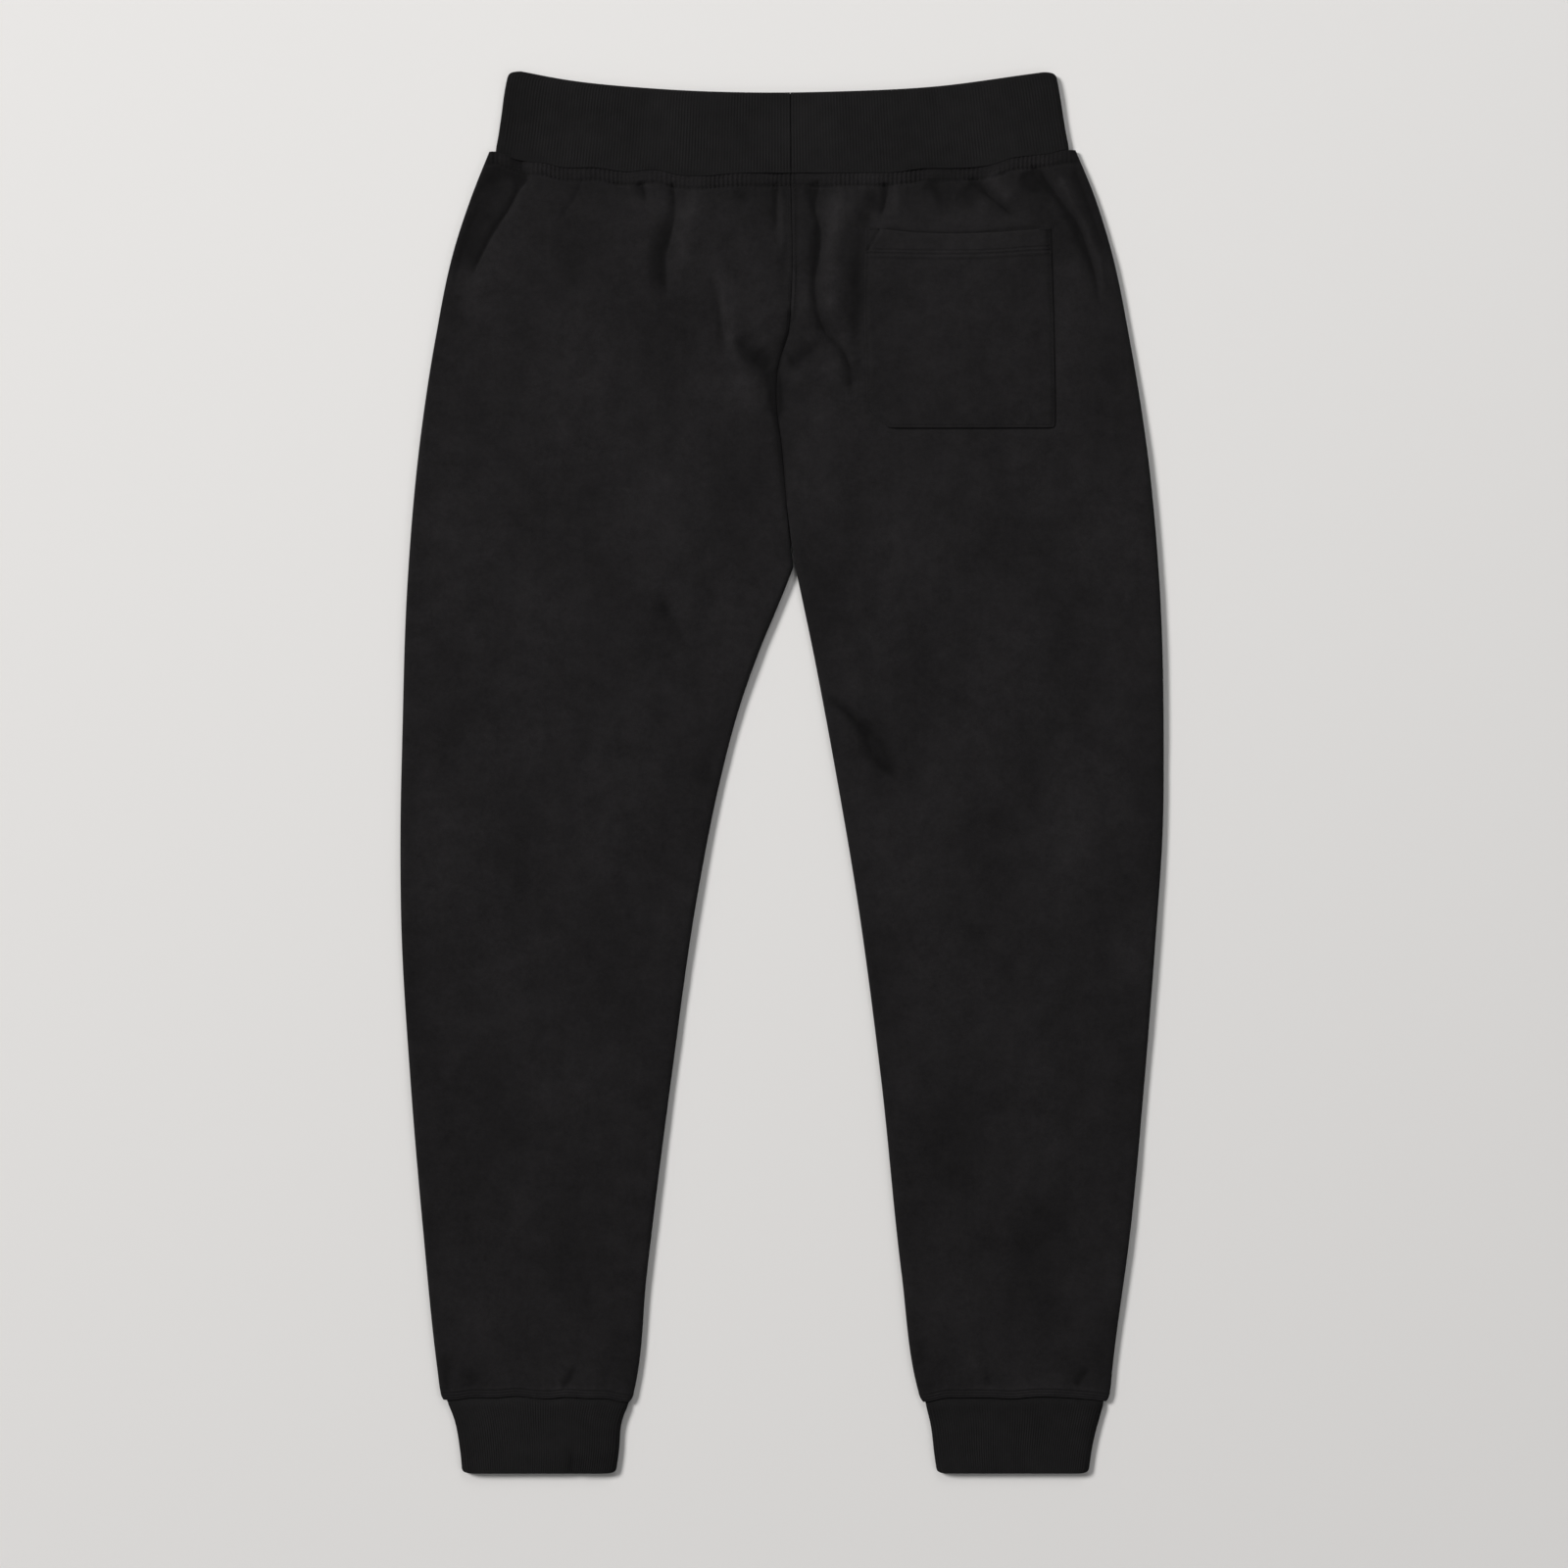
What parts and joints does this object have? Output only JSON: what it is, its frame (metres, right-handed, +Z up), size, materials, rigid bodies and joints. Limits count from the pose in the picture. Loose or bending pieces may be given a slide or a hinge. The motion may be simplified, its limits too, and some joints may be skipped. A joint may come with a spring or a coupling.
{
  "type": "jogger sweatpants",
  "caption": "Fleece jogger sweatpants laid flat with the back side up: rib-knit waistband and ankle cuffs, patch pocket on the right back.",
  "frame": {"origin": "centre of the laid garment's outline, on the surface that it lies on", "axes": "+X towards the wearer's right, +Y from the ankles to the waist, +Z up, out of the back of the garment"},
  "size_m": [0.585, 1.0716, 0.0127],
  "materials": {
    "fleece": "matte brushed fleece, black",
    "rib_knit": "matte rib knit, black",
    "thread": "satin sewing thread, black"
  },
  "bodies": {
    "root": {"back_left": "fleece", "back_right": "fleece", "front_left": "fleece", "front_right": "fleece", "back_pocket": "fleece", "waistband": "rib_knit", "cuff_left": "rib_knit", "cuff_right": "rib_knit"}
  },
  "joints": []
}
